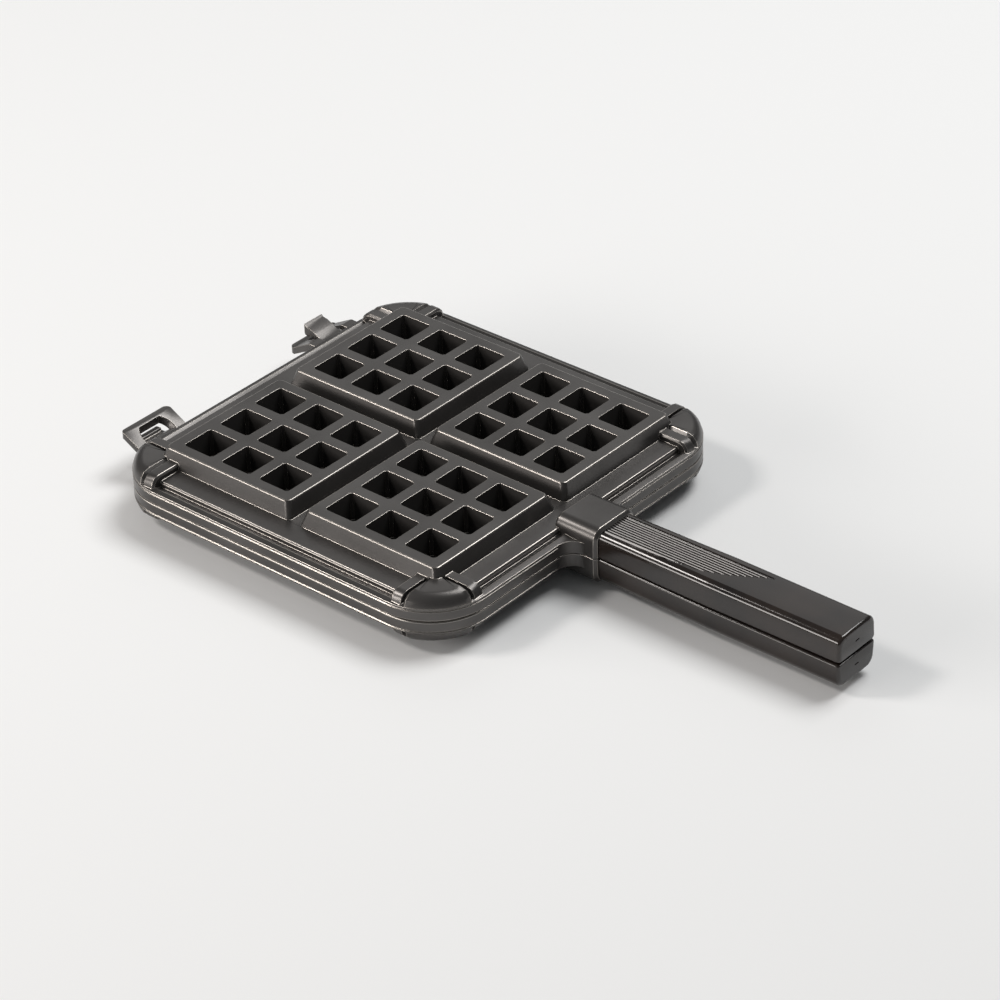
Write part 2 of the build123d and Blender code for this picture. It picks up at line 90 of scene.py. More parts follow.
def turned_matrix(place, right, up, back):
    """A matrix whose columns are the three directions of an object and its place."""
    columns = [Vector(v).to_4d() for v in (right, up, back, place)]
    for direction in columns[:3]:
        direction.w = 0.0
    return Matrix(columns).transposed()


camera_data = bpy.data.cameras.new("studio_camera")
camera_data.sensor_width = SENSOR_MM
camera_data.lens = LENS_MM
camera_data.clip_end = FARTHEST_SEEN
camera = bpy.data.objects.new("studio_camera", camera_data)
bpy.context.scene.collection.objects.link(camera)
camera.matrix_world = turned_matrix(
    CAMERA_PLACE, CAMERA_RIGHT, -Vector(CAMERA_DOWN), -Vector(CAMERA_AHEAD))
bpy.context.scene.camera = camera
print("camera looks down by", round(math.degrees(math.asin(-CAMERA_AHEAD[2])), 1), "degrees")

# %% [markdown]
# ## Shared effects as node groups
# A baked coat, moulded plastic and turned steel share two things: a fine grain, and a slow change of tone
# from place to place. The coat's edges also carry a painted highlight, a paler colour there. Each effect
# is a small node group with named inputs, built once and given its own values in each finish. The groups
# read
# Object coordinates in metres, so a pattern keeps its real size and stays on the piece when the iron
# opens.

# %% A helper that starts a node group
def start_group(name, inputs, outputs):
    """A shader node group with the given value inputs and (name, type) outputs."""
    group = bpy.data.node_groups.new(name, "ShaderNodeTree")
    for label, value in inputs:
        socket = group.interface.new_socket(label, in_out="INPUT", socket_type="NodeSocketFloat")
        socket.default_value = value
    for label, kind in outputs:
        group.interface.new_socket(label, in_out="OUTPUT", socket_type=kind)
    entry = group.nodes.new("NodeGroupInput")
    leave = group.nodes.new("NodeGroupOutput")
    return group, entry, leave


# %% Helpers that add nodes to a tree
def feed(tree, socket, value):
    """Links another socket to this one, or gives this one a fixed value of its own."""
    if isinstance(value, bpy.types.NodeSocket):
        tree.links.new(value, socket)
    else:
        socket.default_value = value


def add_math(tree, kind, first, second, clamp=False):
    """A math node; each operand is a socket or a number."""
    node = tree.nodes.new("ShaderNodeMath")
    node.operation = kind
    node.use_clamp = clamp
    feed(tree, node.inputs[0], first)
    feed(tree, node.inputs[1], second)
    return node.outputs[0]


def add_noise(tree, scale, detail, roughness, stretch=None):
    """Noise on Object coordinates: scale in cells per metre, stretch as the share of it per axis."""
    where = tree.nodes.new("ShaderNodeTexCoord").outputs["Object"]
    if stretch:
        draw = tree.nodes.new("ShaderNodeMapping")
        draw.inputs["Scale"].default_value = stretch
        tree.links.new(where, draw.inputs["Vector"])
        where = draw.outputs["Vector"]
    noise = tree.nodes.new("ShaderNodeTexNoise")
    noise.inputs["Detail"].default_value = detail
    noise.inputs["Roughness"].default_value = roughness
    tree.links.new(where, noise.inputs["Vector"])
    feed(tree, noise.inputs["Scale"], scale)
    return noise.outputs["Fac"]


# %% [markdown]
# ## Grain
# A sprayed or moulded skin is never quite flat: it has a fine grain on top of a coarser orange peel. Both
# could be modelled, but they are hundredths of a millimetre high, so a height for a Bump node does it. The
# highest grains also stand out by themselves, and a mask gives them their own roughness.

# %% The grain group
FLECK_SHARPNESS = 12.0


def make_grain_group():
    """Height = fine noise plus a share of a coarser skin; Fleck is 1 on the rare high grains."""
    group, entry, leave = start_group(
        "surface_grain",
        (("Cells Per Metre", 1500.0), ("Skin Cells", 260.0), ("Skin Share", 0.5),
         ("Fleck Level", 0.68)),
        (("Height", "NodeSocketFloat"), ("Fleck", "NodeSocketFloat")))
    fine = add_noise(group, entry.outputs["Cells Per Metre"], detail=3.0, roughness=0.6)
    skin = add_noise(group, entry.outputs["Skin Cells"], detail=2.0, roughness=0.5)
    weighted = add_math(group, "MULTIPLY", skin, entry.outputs["Skin Share"])
    height = add_math(group, "ADD", fine, weighted)
    over = add_math(group, "SUBTRACT", fine, entry.outputs["Fleck Level"])
    fleck = add_math(group, "MULTIPLY", over, FLECK_SHARPNESS, clamp=True)
    group.links.new(height, leave.inputs["Height"])
    group.links.new(fleck, leave.inputs["Fleck"])
    return group


grain_group = make_grain_group()
print("made", grain_group.name, "with", len(grain_group.nodes), "nodes")

# %% [markdown]
# ## Tone
# No coat or moulding has one even colour. Broad patches differ a little in depth, and a moulding also has
# streaks where it flowed along the mould. A painted map would do it for one view only; noise does it for
# all of them, once round and once drawn out along X, which is the handle's length.

# %% The tone group
MIDDLE_TONE = 0.5
SMEAR_STRETCH = (0.08, 1.0, 1.0)


def make_tone_group():
    """Tone = soft patches from 0 to 1, spread about the middle; Smear = a noise drawn out along X."""
    group, entry, leave = start_group(
        "slow_tone",
        (("Patches Per Metre", 22.0), ("Contrast", 2.2), ("Smear Cells", 60.0)),
        (("Tone", "NodeSocketFloat"), ("Smear", "NodeSocketFloat")))
    patches = add_noise(group, entry.outputs["Patches Per Metre"], detail=4.0, roughness=0.55)
    centred = add_math(group, "SUBTRACT", patches, MIDDLE_TONE)
    spread = add_math(group, "MULTIPLY", centred, entry.outputs["Contrast"])
    tone = add_math(group, "ADD", spread, MIDDLE_TONE, clamp=True)
    smear = add_noise(
        group, entry.outputs["Smear Cells"], detail=4.0, roughness=0.5, stretch=SMEAR_STRETCH)
    group.links.new(tone, leave.inputs["Tone"])
    group.links.new(smear, leave.inputs["Smear"])
    return group


tone_group = make_tone_group()
print("made", tone_group.name, "with", len(tone_group.nodes), "nodes")

# %% [markdown]
# ## Painted edge highlight
# The coat's edges get a painted highlight: a paler colour on them helps draw the bright lines that the
# light makes there. A mask from the mesh's curvature is one way to find the edges, but it smears over flat
# ground near an edge. Here the narrow strips that round the edges carry a value of their own, and noise
# leaves some stretches of them out.

# %% The painted edge highlight group
EDGE_ATTRIBUTE = "edge_band"
EDGE_BREAK_LEVEL = 0.75
EDGE_BREAK_SHARPNESS = 4.0


def make_edge_highlight_group():
    """Mask = the edge band of a piece, where the painted highlight goes, left out where noise plus Cover
    is under the break level.
    """
    group, entry, leave = start_group(
        "painted_edge_highlight", (("Cover", 0.55), ("Break Cells", 90.0)), (("Mask", "NodeSocketFloat"),))
    band = group.nodes.new("ShaderNodeAttribute")
    band.attribute_name = EDGE_ATTRIBUTE
    breaks = add_noise(group, entry.outputs["Break Cells"], detail=3.0, roughness=0.6)
    raised = add_math(group, "ADD", breaks, entry.outputs["Cover"])
    lowered = add_math(group, "SUBTRACT", raised, EDGE_BREAK_LEVEL)
    highlit = add_math(group, "MULTIPLY", lowered, EDGE_BREAK_SHARPNESS, clamp=True)
    mask = add_math(group, "MULTIPLY", band.outputs["Fac"], highlit)
    group.links.new(mask, leave.inputs["Mask"])
    return group


edge_highlight_group = make_edge_highlight_group()
print("made", edge_highlight_group.name, "with", len(edge_highlight_group.nodes), "nodes")

# %% [markdown]
# ## The finishes
# Three finishes cover the whole iron, and a Principled shader does all of them. What differs is which
# group feeds its colour, roughness and bump, so the steps that join them are written once as helpers.

# %% A helper that starts a finish
def start_finish(name):
    """A material with its shader, ready for groups."""
    material = bpy.data.materials.new(name)
    material.use_nodes = True
    return material, material.node_tree, material.node_tree.nodes["Principled BSDF"]


def place_group(tree, group, **values):
    """A group node in a material, with its inputs set by their labels."""
    node = tree.nodes.new("ShaderNodeGroup")
    node.node_tree = group
    for label, value in values.items():
        node.inputs[label.replace("_", " ")].default_value = value
    return node


# %% Helpers that join a group to a shader
MIX_SHARE, MIX_LOW, MIX_HIGH, MIX_COLOUR = 0, 6, 7, 2  # a Mix node's sockets for colours


def opaque(colour):
    """A colour with full alpha."""
    return (*colour, 1.0)


def add_ramp(tree, source, low, high):
    """Runs from colour low to colour high as source goes from 0 to 1; each can be a socket."""
    mix = tree.nodes.new("ShaderNodeMix")
    mix.data_type = "RGBA"
    feed(tree, mix.inputs[MIX_LOW], low)
    feed(tree, mix.inputs[MIX_HIGH], high)
    tree.links.new(source, mix.inputs[MIX_SHARE])
    return mix.outputs[MIX_COLOUR]


def add_range(tree, source, low, high):
    """Maps 0 to 1 onto low to high."""
    node = tree.nodes.new("ShaderNodeMapRange")
    node.inputs["To Min"].default_value = low
    node.inputs["To Max"].default_value = high
    tree.links.new(source, node.inputs["Value"])
    return node.outputs["Result"]


def add_bump(tree, height, shader, depth_mm, strength):
    """Bump whose full height is depth_mm."""
    bump = tree.nodes.new("ShaderNodeBump")
    bump.inputs["Strength"].default_value = strength
    bump.inputs["Distance"].default_value = depth_mm * MM
    tree.links.new(height, bump.inputs["Height"])
    tree.links.new(bump.outputs["Normal"], shader.inputs["Normal"])


# %% [markdown]
# ## The coat
# The castings carry a baked non-stick coat: nearly black, satin, with a faint orange peel. A plain glossy
# black looks like plastic here. The real coat is so thin that the metal's sheen comes through, so the
# shader is set partly metallic, and more so on the edges, which are also smoother. The edges' paler colour
# is a painted highlight that helps draw the bright edge lines.

# %% The non-stick coat on the castings
COAT_DARK = (0.066, 0.0625, 0.06)
COAT_LIGHT = (0.106, 0.101, 0.0975)
# The next colour is a painted highlight: the edge strips are made paler to help the bright edge lines.
COAT_EDGE_HIGHLIGHT = (0.3, 0.28, 0.26)
COAT_METAL = 0.7
EDGE_HIGHLIGHT_METAL = 0.85
COAT_ROUGHNESS = (0.36, 0.28)
FLECK_ROUGHNESS = 0.12
EDGE_POLISH = 0.08
COAT_IOR = 1.5
COAT_BUMP_MM = 0.03
COAT_BUMP_STRENGTH = 0.35


def make_coated_casting():
    """Satin near-black coat: patches of tone, flecks, grain bump, and a painted highlight on the edges."""
    material, tree, shader = start_finish("coated_casting")
    grain = place_group(tree, grain_group, Cells_Per_Metre=1700.0, Skin_Cells=420.0)
    tone = place_group(tree, tone_group, Patches_Per_Metre=26.0)
    edge_highlight = place_group(tree, edge_highlight_group, Cover=0.66)
    coat = add_ramp(tree, tone.outputs["Tone"], opaque(COAT_DARK), opaque(COAT_LIGHT))
    # The edge strips are paler: a painted highlight; with their extra metal they also reflect the lamps.
    highlit = add_ramp(tree, edge_highlight.outputs["Mask"], coat, opaque(COAT_EDGE_HIGHLIGHT))
    tree.links.new(highlit, shader.inputs["Base Color"])
    edge_metal = add_range(tree, edge_highlight.outputs["Mask"], COAT_METAL, EDGE_HIGHLIGHT_METAL)
    tree.links.new(edge_metal, shader.inputs["Metallic"])
    rough = add_range(tree, tone.outputs["Tone"], *COAT_ROUGHNESS)
    flecked = add_math(tree, "MULTIPLY", grain.outputs["Fleck"], FLECK_ROUGHNESS)
    rougher = add_math(tree, "ADD", rough, flecked)
    polished = add_math(tree, "MULTIPLY", edge_highlight.outputs["Mask"], EDGE_POLISH)
    tree.links.new(add_math(tree, "SUBTRACT", rougher, polished), shader.inputs["Roughness"])
    shader.inputs["IOR"].default_value = COAT_IOR
    add_bump(tree, grain.outputs["Height"], shader, COAT_BUMP_MM, COAT_BUMP_STRENGTH)
    return material


coated_casting = make_coated_casting()
print("finish", coated_casting.name)

# %% [markdown]
# ## The moulding's finish
# The handles are glossy brown-black thermoset, whose skin waves very gently and shows faint streaks along
# its length. The colour alone would look dead, so the streaks go into the roughness, where they break up
# the long reflections, and a very shallow bump bends them.

# %% The moulded handle plastic
MOULDED_DARK = (0.011, 0.009, 0.0085)
MOULDED_BROWN = (0.026, 0.019, 0.0155)
MOULDED_ROUGHNESS = (0.06, 0.18)
MOULDED_IOR = 1.55
MOULDED_BUMP_MM = 0.012
MOULDED_BUMP_STRENGTH = 0.25


def make_handle_plastic():
    """Glossy thermoset: brown-black patches, streaked gloss and a very gentle wave."""
    material, tree, shader = start_finish("handle_plastic")
    grain = place_group(tree, grain_group, Cells_Per_Metre=700.0, Skin_Cells=90.0, Skin_Share=2.0)
    tone = place_group(tree, tone_group, Patches_Per_Metre=40.0, Smear_Cells=500.0)
    colour = add_ramp(tree, tone.outputs["Tone"], opaque(MOULDED_DARK), opaque(MOULDED_BROWN))
    tree.links.new(colour, shader.inputs["Base Color"])
    streaked = add_range(tree, tone.outputs["Smear"], *MOULDED_ROUGHNESS)
    tree.links.new(streaked, shader.inputs["Roughness"])
    shader.inputs["IOR"].default_value = MOULDED_IOR
    add_bump(tree, grain.outputs["Height"], shader, MOULDED_BUMP_MM, MOULDED_BUMP_STRENGTH)
    return material


handle_plastic = make_handle_plastic()
print("finish", handle_plastic.name)

# %% [markdown]
# ## The steel
# The screws are plain turned steel, small and seldom seen. A metallic shader with a little grain and
# streaked roughness is enough, where a modelled thread or turning marks would never show.

# %% The screw steel
STEEL_DARK = (0.42, 0.42, 0.43)
STEEL_LIGHT = (0.6, 0.6, 0.6)
STEEL_ROUGHNESS = (0.22, 0.4)
STEEL_BUMP_MM = 0.01
STEEL_BUMP_STRENGTH = 0.3


def make_screw_steel():
    """Plain steel with a fine turned grain."""
    material, tree, shader = start_finish("screw_steel")
    grain = place_group(tree, grain_group, Cells_Per_Metre=2500.0)
    tone = place_group(tree, tone_group, Patches_Per_Metre=200.0)
    colour = add_ramp(tree, tone.outputs["Tone"], opaque(STEEL_DARK), opaque(STEEL_LIGHT))
    tree.links.new(colour, shader.inputs["Base Color"])
    streaked = add_range(tree, tone.outputs["Smear"], *STEEL_ROUGHNESS)
    tree.links.new(streaked, shader.inputs["Roughness"])
    shader.inputs["Metallic"].default_value = 1.0
    add_bump(tree, grain.outputs["Height"], shader, STEEL_BUMP_MM, STEEL_BUMP_STRENGTH)
    return material


screw_steel = make_screw_steel()
print("finish", screw_steel.name)

# %% [markdown]
# ## The castings
# Each half is one aluminium casting with sharp-looking but slightly rounded edges, and those round edges
# are what catches the light. The shape is already right in the CAD, so modelling it again would only add
# errors. Instead a copy of its mesh is merged and a Bevel modifier rounds every edge. The strips that the
# bevel makes are marked, so that the finish can give them a painted highlight. Joining the flat faces up
# first
# was tried and left out: the bevel then folds the large faces over themselves.

# %% Merge a copy of a CAD node
MERGE_DISTANCE = 2e-6


def merged_copy(node, name):
    """A copy of a CAD node's mesh, with its loose triangles welded together."""
    solid = bmesh.new()
    solid.from_mesh(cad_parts[node].data)
    bmesh.ops.remove_doubles(solid, verts=solid.verts, dist=MERGE_DISTANCE)
    mesh = bpy.data.meshes.new(name)
    solid.to_mesh(mesh)
    solid.free()
    piece = bpy.data.objects.new(name, mesh)
    bpy.context.scene.collection.objects.link(piece)
    return piece


def apply_modifiers(piece):
    """Writes the modifiers' result into the piece's own mesh."""
    shaped = bpy.data.meshes.new_from_object(
        piece.evaluated_get(bpy.context.evaluated_depsgraph_get()))
    piece.modifiers.clear()
    piece.data = shaped


# %% Round the edges and mark them
BEVEL_ANGLE = math.radians(34.0)
SMOOTH_ANGLE = math.radians(36.0)
BEVEL_SEGMENTS = 2
PLAIN_SLOT, BAND_SLOT = 0, 1


def bevel_edges(piece, width_mm):
    """Bevels every edge over the bevel angle; the new strips get the band's material slot.

    Two empty slots are enough for that. The modifier's own clamp is off, because it would shrink
    every strip to suit the very short edges in the corners.
    """
    piece.data.materials.clear()
    for _ in (PLAIN_SLOT, BAND_SLOT):
        piece.data.materials.append(None)
    bevel = piece.modifiers.new("rounded_edges", "BEVEL")
    bevel.width = width_mm * MM
    bevel.segments = BEVEL_SEGMENTS
    bevel.limit_method = "ANGLE"
    bevel.angle_limit = BEVEL_ANGLE
    bevel.material = BAND_SLOT
    bevel.use_clamp_overlap = False
    bpy.context.view_layer.update()
    apply_modifiers(piece)


def mark_edge_band(mesh):
    """Turns the two slots into a face value, 1 on the strips, and clears the slots again."""
    slots = np.zeros(len(mesh.polygons), np.int32)
    mesh.polygons.foreach_get("material_index", slots)
    on_band = slots == BAND_SLOT
    band = mesh.attributes.new(EDGE_ATTRIBUTE, "FLOAT", "FACE")
    band.data.foreach_set("value", on_band.astype(np.float32))
    mesh.polygons.foreach_set("material_index", np.full(len(slots), PLAIN_SLOT, np.int32))
    mesh.materials.clear()
    return int(on_band.sum())


def shade_evenly(piece):
    """Smooth shading with sharp edges kept, and normals weighted by the faces' sizes."""
    mesh = piece.data
    mesh.polygons.foreach_set("use_smooth", np.ones(len(mesh.polygons), bool))
    mesh.set_sharp_from_angle(angle=SMOOTH_ANGLE)
    shade = piece.modifiers.new("even_shading", "WEIGHTED_NORMAL")
    shade.keep_sharp = True


# %% A helper that hands a piece to the frame
def dress(piece, half, node, finish):
    """Gives a piece its finish and its body, and hides the CAD node that it stands for."""
    piece.data.materials.append(finish)
    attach(piece, half + "_half")
    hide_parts(node)


# %% Make the two castings
CASTING_EDGE_MM = 0.26

for half in HALVES:
    node = half + "_plate"
    casting = merged_copy(node, half + "_casting")
    bevel_edges(casting, CASTING_EDGE_MM)
    strips = mark_edge_band(casting.data)
    shade_evenly(casting)
    dress(casting, half, node, coated_casting)
    print(casting.name, len(casting.data.polygons), "faces, of which edge strips", strips)

# %% [markdown]
# ## The handles
# A handle is a D-shaped moulding with generous shoulders, a reeded grip panel that ends in a curve, and
# a small slot that the mould left in its end. The CAD draws its rounds with flats to stay light, and
# smoothing those would soften the reeds too. So the surface is worked out afresh: a section is carried
# along the handle and the panel is pressed into it by a height function. One array of points makes the
# upper handle, and a half turn about the handle's axis the lower one.

# %% The handle's length and its stations
plate_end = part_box("upper_handle")[0].x
handle_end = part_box("upper_handle")[1].x
handle_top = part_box("upper_handle")[1].z - parting_height
SECTION_X = np.array([0.0, 64.2, 141.2]) * MM
SECTION_HALF_WIDTH = np.array([13.2, 14.3, 14.1]) * MM
SECTION_DROP = np.array([0.3, 0.0, 0.2]) * MM
SECTION_FOOT = np.array([0.35, 0.45, 0.6]) * MM
print("handle from", round(plate_end / MM, 1), "to", round(handle_end / MM, 1), "mm")

# %% [markdown]
# ## The handle's section
# The section is a D that lies on its flat side: a gently crowned top, two shoulders, sides that lean out a
# little and a flat underside. It could be drawn as a curve and swept, but the reeds need points at known
# places: they are spaced evenly over the reeds, and by angle round the shoulders.

# %% Where the reeds and the section's points lie
REED_PITCH = 1.7 * MM
REED_COUNT = 10
FIRST_REED = -8.7 * MM
REED_SAMPLES = 8
SAMPLES_BEFORE_REEDS = 3
SAMPLES_AFTER_REEDS = 13
REED_MIDDLES = FIRST_REED + REED_PITCH * np.arange(REED_COUNT)
LAST_SAMPLE = (REED_COUNT - 1) * REED_SAMPLES + SAMPLES_AFTER_REEDS
TOP_Y = FIRST_REED + REED_PITCH / REED_SAMPLES * np.arange(-SAMPLES_BEFORE_REEDS, LAST_SAMPLE + 1)
print("the top's points run from", round(TOP_Y[0] / MM, 2), "to", round(TOP_Y[-1] / MM, 2), "mm")

# %% The D section as one closed line
SHOULDER_RADIUS = 4.8 * MM
FOOT_RADIUS = 1.3 * MM
FOOT_SPREAD = 0.5 * MM
CROWN = 0.7 * MM
CROWN_SAMPLES = 5
ARC_SAMPLES = 14
QUARTER_TURN = math.pi / 2


def side_of_section(half_width, top, foot, start):
    """One side of the D, from the edge of its top panel round to its flat underside.

    The top is crowned: it falls with the cube of the distance from the middle. At the shoulder a
    circular arc takes over, a little steeper, and turns down to the side, which leans out to the
    foot, and a small quarter circle turns under it.
    """
    reach = half_width - SHOULDER_RADIUS
    tilt = np.arctan(3.0 * CROWN / half_width)
    last = reach + SHOULDER_RADIUS * np.sin(tilt)
    share = np.linspace(0.0, 1.0, CROWN_SAMPLES + 1)[1:]
    turn = tilt + np.linspace(0.0, 1.0, ARC_SAMPLES + 1)[1:] * (QUARTER_TURN - tilt)
    under = np.linspace(0.0, 1.0, ARC_SAMPLES // 2 + 1) * QUARTER_TURN
    centre = top - CROWN * (last / half_width) ** 3 - SHOULDER_RADIUS * np.cos(tilt)
    crown_y = start + (last - start) * share
    y = [crown_y,
         reach + SHOULDER_RADIUS * np.sin(turn),
         half_width + FOOT_SPREAD - FOOT_RADIUS + FOOT_RADIUS * np.cos(under)]
    z = [top - CROWN * (crown_y / half_width) ** 3,
         centre + SHOULDER_RADIUS * np.cos(turn),
         foot + FOOT_RADIUS - FOOT_RADIUS * np.sin(under)]
    return np.concatenate(y, axis=1), np.concatenate(z, axis=1)


def whole_section(half_width, top, foot):
    """The closed D: the even points over the reeds, the right side, and the left side back."""
    half_width, top, foot = (values[:, None] for values in (half_width, top, foot))
    over_y = np.repeat(TOP_Y[None, :], len(half_width), axis=0)
    over_z = top - CROWN * (np.abs(over_y) / half_width) ** 3
    right_y, right_z = side_of_section(half_width, top, foot, TOP_Y[-1])
    left_y, left_z = side_of_section(half_width, top, foot, -TOP_Y[0])
    y = np.concatenate([over_y, right_y, -left_y[:, ::-1]], axis=1)
    z = np.concatenate([over_z, right_z, left_z[:, ::-1]], axis=1)
    return y, z


# %% [markdown]
# ## The reeded panel
# The grip panel is sunk into the top, and ten thin reeds stand in it up to the level of the top. Cutting
# them with booleans would leave thousands of hard edges. As a height that depends on x and y the panel
# bends with the crown and its flanks are as soft as those of a moulding.

# %% The panel's edges
PANEL_SIDE = 8.0 * MM
PANEL_CURVE_X = np.array([-2.0, 24.6, 40.0, 56.6, 69.0, 80.2, 88.2]) * MM
PANEL_CURVE_Y = np.array([-10.4, -10.3, -9.7, -8.1, -3.6, 3.2, 8.0]) * MM
PANEL_EDGE_SAMPLES = 181
SMOOTHING_REACH = 7


def running_mean(values, reach):
    """Each value becomes the mean of itself and of reach neighbours on each side."""
    window = 2 * reach + 1
    return np.convolve(np.pad(values, reach, "edge"), np.full(window, 1 / window), "valid")


PANEL_EDGE_X = np.linspace(PANEL_CURVE_X[0], PANEL_CURVE_X[-1], PANEL_EDGE_SAMPLES)
PANEL_EDGE_Y = running_mean(np.interp(PANEL_EDGE_X, PANEL_CURVE_X, PANEL_CURVE_Y), SMOOTHING_REACH)
print("the panel ends", round(PANEL_EDGE_X[-1] / MM, 1), "mm along the handle")

# %% The panel as a height
PANEL_DEPTH = 0.8 * MM
CURVE_FADE = 0.8 * MM
SIDE_FADE = 0.6 * MM
REED_HALF = 0.42 * MM
REED_FLANK = 0.32 * MM
OUT_OF_REACH = 1.0


def soft_step(value, width):
    """Rises smoothly from 0 to 1 as value goes from -width/2 to +width/2."""
    t = np.clip(value / width + 0.5, 0.0, 1.0)
    return t * t * (3.0 - 2.0 * t)


def panel_depth(x, y):
    """How deep the top is pressed in at x along the handle and y across it.

    The panel lies between its straight side and its curved edge, and past the curve's end it is
    out of reach. Inside it the surface drops by the panel's depth, except on the reeds, whose
    crests stay level and whose flanks are soft.
    """
    edge = np.interp(x, PANEL_EDGE_X, PANEL_EDGE_Y, right=OUT_OF_REACH)
    inside = soft_step(y - edge, CURVE_FADE) * soft_step(PANEL_SIDE - y, SIDE_FADE)
    nearest = np.abs(y[..., None] - REED_MIDDLES).min(axis=-1)
    reed = soft_step(REED_HALF - nearest, REED_FLANK)
    return PANEL_DEPTH * inside * (1.0 - reed)


# %% The whole handle surface
END_RADIUS = 1.8 * MM
END_FOOT_LIFT = 0.3
BODY_RINGS = 460
END_RINGS = 8
TOP_BAND = 1.6 * MM
TOP_BAND_FADE = 0.8 * MM


def handle_rings():
    """Rings of points along the handle, as an array of rings by points by x, y and z.

    Near the end the section shrinks by the end's quarter round, and its foot rises by a share of
    that. The panel presses in only the band under the top, so the sides stay as they are.
    """
    length = handle_end - plate_end
    body = np.linspace(0.0, length - END_RADIUS, BODY_RINGS)
    turn = np.linspace(0.0, 1.0, END_RINGS + 1)[1:] * QUARTER_TURN
    along = np.concatenate([body, length - END_RADIUS + END_RADIUS * np.sin(turn)])
    inset = np.concatenate([0 * body, END_RADIUS * (1.0 - np.cos(turn))])
    half_width = np.interp(along, SECTION_X, SECTION_HALF_WIDTH) - inset
    top = handle_top - np.interp(along, SECTION_X, SECTION_DROP) - inset
    foot = np.interp(along, SECTION_X, SECTION_FOOT) + END_FOOT_LIFT * inset
    y, z = whole_section(half_width, top, foot)
    x = np.repeat(along[:, None], y.shape[1], axis=1)
    on_top = soft_step(z - (top[:, None] - TOP_BAND), TOP_BAND_FADE)
    z = z - panel_depth(x, y) * on_top
    return np.stack([x, y, z], axis=-1)


upper_points = handle_rings()
print("handle surface:", upper_points.shape[0], "rings of", upper_points.shape[1], "points")

# %% [markdown]
# ## The handle's ends
# At the plate the handle meets the casting flat, and one plain cap closes it. The tip is a flat face with
# the mould's slot in it. Rings could close in on the slot, but they crowd and shade badly, so the tip's
# outline and the slot's lip are joined by flat triangles in one plane.

# %% Close the handle's ends
SLOT_HALF_LENGTH = 1.5 * MM
SLOT_HALF_WIDTH = 0.35 * MM
SLOT_DEPTH = 0.5 * MM
SLOT_CORNERS = ((-1, -1), (1, -1), (1, 1), (-1, 1))


def in_pairs(verts):
    """Each vertex of a closed loop with the next one."""
    return zip(verts, verts[1:] + verts[:1])


def close_shell(shell, count, slot_height):
    """Closes the shell's first and last ring of count points: a plain cap and a slotted face.

    The tip's outline and the slot's lip are two loops in one plane; the area between them is
    filled with flat triangles, and the slot's walls and floor go back from the lip.
    """
    shell.verts.ensure_lookup_table()
    shell.faces.new(shell.verts[:count])
    outline = shell.verts[-count:]
    place = outline[0].co.x
    lip = [shell.verts.new((place, a * SLOT_HALF_LENGTH, slot_height + b * SLOT_HALF_WIDTH))
           for a, b in SLOT_CORNERS]
    back = [shell.verts.new((place - SLOT_DEPTH, *vertex.co.yz)) for vertex in lip]
    edges = [shell.edges.new(pair) for pair in in_pairs(lip)]
    edges += [shell.edges.get(pair) for pair in in_pairs(outline)]
    bmesh.ops.triangle_fill(shell, use_beauty=True, edges=edges, normal=(1, 0, 0))
    for (a, b), (d, c) in zip(in_pairs(lip), in_pairs(back)):
        shell.faces.new((a, b, c, d))
    shell.faces.new(back)


def turn_outwards(shell):
    """Makes neighbouring faces agree, then turns the shell over if its volume is negative."""
    bmesh.ops.recalc_face_normals(shell, faces=shell.faces)
    if shell.calc_volume(signed=True) < 0.0:
        bmesh.ops.reverse_faces(shell, faces=shell.faces)


# %% Make the two handles
def ring_quads(rings, count):
    """The faces between rings of points joined in order."""
    row = np.arange(rings - 1)[:, None] * count
    here = np.arange(count)[None, :]
    after = (here + 1) % count
    quads = np.stack([row + here, row + count + here, row + count + after, row + after], axis=-1)
    return quads.reshape(-1, 4).tolist()


def make_handle_piece(half):
    """The moulded handle of one half; the lower one is turned half a turn about X.

    The quads between the rings are smooth, and the faces that close the ends stay flat.
    """
    rings, count = upper_points.shape[:2]
    sign = 1.0 if half == "upper" else -1.0
    points = upper_points * (1.0, sign, sign) + (plate_end, 0.0, parting_height)
    tip_heights = points[-1, :, 2]
    mesh = bpy.data.meshes.new(half + "_grip")
    mesh.from_pydata(points.reshape(-1, 3), [], ring_quads(rings, count), shade_flat=False)
    shell = bmesh.new()
    shell.from_mesh(mesh)
    close_shell(shell, count, 0.5 * (tip_heights.max() + tip_heights.min()))
    turn_outwards(shell)
    print(mesh.name, "holds", round(shell.calc_volume(signed=True) / MM ** 3), "cubic mm")
    shell.to_mesh(mesh)
    shell.free()
    mesh.set_sharp_from_angle(angle=SMOOTH_ANGLE)
    piece = bpy.data.objects.new(half + "_grip", mesh)
    bpy.context.scene.collection.objects.link(piece)
    return piece


for half in HALVES:
    grip = make_handle_piece(half)
    dress(grip, half, half + "_handle", handle_plastic)
    print(grip.name, len(grip.data.polygons), "faces")

# %% [markdown]
# ## The screws
# The handle screws sit in the flat inner faces, where only an opened iron shows them. Their CAD shape is
# right as it stands, so they only get the steel finish.

# %% Finish the screws
for half in HALVES:
    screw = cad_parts[half + "_handle_screw"]
    screw.data.materials.clear()
    screw.data.materials.append(screw_steel)
    print(screw.name, "in", screw_steel.name)

# %% [markdown]
# ## The floor
# The iron lies on a seamless pale sweep. One big plane is enough, because the picture's camera looks down
# and never sees its far edge. Its colour, not extra light, makes the background pale.

# %% Lay the floor
FLOOR_REACH = 6.0
FLOOR_CORNERS = ((-1, -1, 0), (1, -1, 0), (1, 1, 0), (-1, 1, 0))
FLOOR_COLOUR = (0.835, 0.845, 0.85)
FLOOR_ROUGHNESS = 0.9
FLOOR_SPECULAR = 0.1


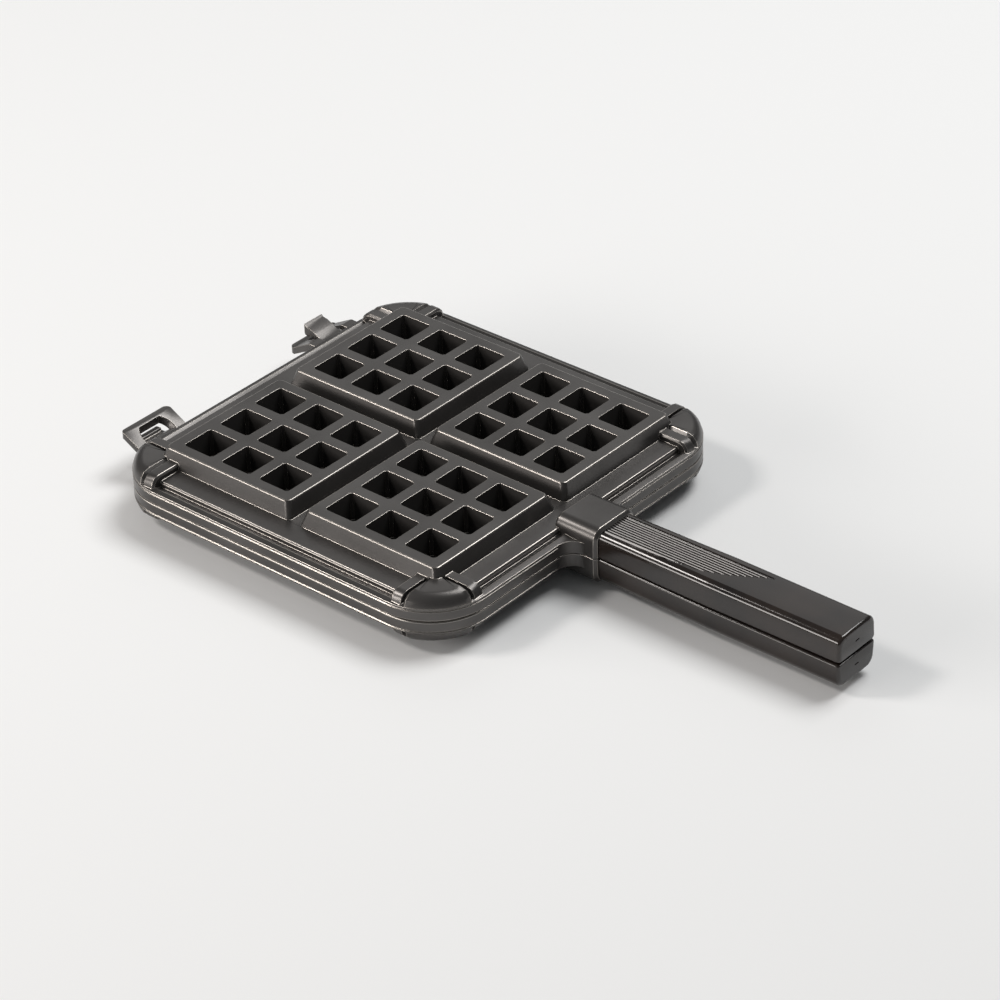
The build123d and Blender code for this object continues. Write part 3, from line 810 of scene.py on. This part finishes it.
def make_floor():
    """A square floor at height zero in a matt pale finish."""
    mesh = bpy.data.meshes.new("floor")
    mesh.from_pydata(FLOOR_REACH * np.array(FLOOR_CORNERS, float), [], [(0, 1, 2, 3)])
    material, _, shader = start_finish("floor_paper")
    shader.inputs["Base Color"].default_value = opaque(FLOOR_COLOUR)
    shader.inputs["Roughness"].default_value = FLOOR_ROUGHNESS
    shader.inputs["Specular IOR Level"].default_value = FLOOR_SPECULAR
    mesh.materials.append(material)
    floor = bpy.data.objects.new("floor", mesh)
    bpy.context.scene.collection.objects.link(floor)
    return floor


make_floor()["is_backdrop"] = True
print("floor is", 2 * FLOOR_REACH, "m square")

# %% [markdown]
# ## The light
# Dark satin metal is drawn by what it reflects. An image of a studio could light it, but a few plain
# rectangles are enough, and each can be moved by itself. A wide softbox overhead, a little behind the
# iron, lights the floor and throws the soft shadow forward. A large dim card stands behind, where the
# level tops mirror it. A long low card at the front left is what the near walls mirror, and a smaller box
# high at the left draws the bright lines along the edges.

# %% Place the lights
WARM = (1.0, 0.95, 0.91)
COOL = (1.0, 0.995, 0.985)
# Each has its name, direction from the iron, distance, width and height in metres, watts and colour.
SOFTBOXES = (
    ("overhead_box", (0.15, 0.55, 1.0), 2.6, 1.3, 1.3, 44.0, COOL),
    ("back_card", (-0.55, 0.64, 0.54), 2.8, 2.2, 1.6, 7.0, COOL),
    ("front_card", (-0.5, -0.8, 0.26), 2.4, 2.6, 0.5, 40.0, WARM),
    ("edge_box", (-0.55, -0.45, 0.7), 2.6, 0.5, 0.5, 20.0, WARM),
)


def add_softbox(name, direction, distance, width, height, watts, colour):
    """A rectangular light in a direction from the iron, turned to face it."""
    lamp = bpy.data.lights.new(name, "AREA")
    lamp.shape = "RECTANGLE"
    lamp.size = width
    lamp.size_y = height
    lamp.energy = watts
    lamp.color = colour
    holder = bpy.data.objects.new(name, lamp)
    towards = Vector(direction).normalized()
    facing = towards.to_track_quat("Z", "Y").to_matrix().to_4x4()
    holder.matrix_world = Matrix.Translation(towards * distance) @ facing
    bpy.context.scene.collection.objects.link(holder)


for softbox in SOFTBOXES:
    add_softbox(*softbox)
print("lights:", [softbox[0] for softbox in SOFTBOXES])

# %% [markdown]
# ## The room
# Between the lights a studio is dim but not black. An even, faint and slightly cold world fills the
# deepest pockets, and the plain view transform keeps the floor's colour as it is set.

# %% Fill the room
ROOM_COLOUR = (0.96, 0.98, 1.0)
ROOM_STRENGTH = 0.12

world = bpy.data.worlds.new("studio_room")
world.use_nodes = True
room = world.node_tree.nodes["Background"]
room.inputs["Color"].default_value = opaque(ROOM_COLOUR)
room.inputs["Strength"].default_value = ROOM_STRENGTH
bpy.context.scene.world = world
bpy.context.scene.view_settings.view_transform = "Standard"
print("world", world.name, "at strength", ROOM_STRENGTH)

# %% [markdown]
# ## Check
# The dressed iron has to stay inside the CAD's box, so both boxes are written down side by side.

# %% Compare the boxes
dressed_box = [list(corner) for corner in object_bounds()]
for axis, low, high, cad_low, cad_high in zip("xyz", *dressed_box, *cad_box):
    print(axis, "grows by", round((cad_low - low) / MM, 3), "and", round((high - cad_high) / MM, 3), "mm")
